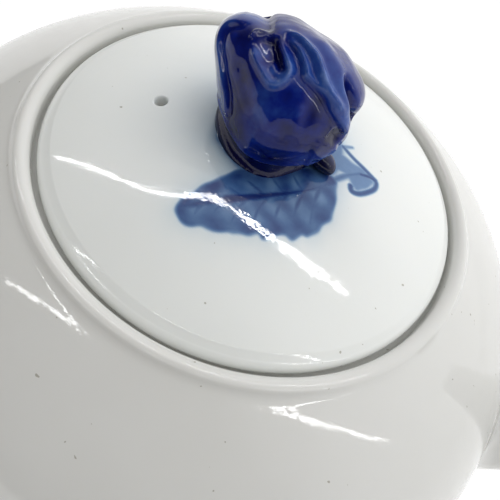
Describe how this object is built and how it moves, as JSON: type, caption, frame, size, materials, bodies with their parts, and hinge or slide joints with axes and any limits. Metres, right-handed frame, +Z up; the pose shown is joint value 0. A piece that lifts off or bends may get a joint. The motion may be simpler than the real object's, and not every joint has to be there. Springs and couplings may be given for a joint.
{
  "type": "porcelain teapot",
  "caption": "Squat round porcelain teapot with a tapered spout, a loop handle, a foot ring and a domed lift-off lid whose knob is a rosebud of cobalt petals.",
  "frame": {"origin": "centre of the foot ring on the table, under the middle of the whole teapot from spout tip to handle", "axes": "+Z up, +X along the spout, the handle towards -X"},
  "size_m": [0.2131, 0.1372, 0.1101],
  "materials": {
    "white_glaze": "gloss",
    "lid_glaze": "gloss",
    "bare_foot": "matte",
    "cobalt_glaze": "gloss",
    "navy_glaze": "gloss"
  },
  "bodies": {
    "pot": {"lower_bowl": "white_glaze", "upper_bowl": "white_glaze", "foot_ring": "bare_foot", "lid_seat": "white_glaze", "spout": "white_glaze", "handle": "white_glaze"},
    "lid": {"lid_dome": "lid_glaze", "lid_collar": "lid_glaze", "calyx": "navy_glaze", "stem_nub": "navy_glaze", "bud_core": "navy_glaze", "petal_inner_left": "cobalt_glaze", "petal_inner_right": "cobalt_glaze", "petal_outer_left": "cobalt_glaze", "petal_outer_front": "cobalt_glaze", "petal_outer_right": "cobalt_glaze", "petal_outer_back": "cobalt_glaze"}
  },
  "joints": [
    {"name": "lid_lift", "type": "slide", "parent": "pot", "child": "lid", "axis": [0, 0, 1], "range_m": [0, 0.07]}
  ]
}
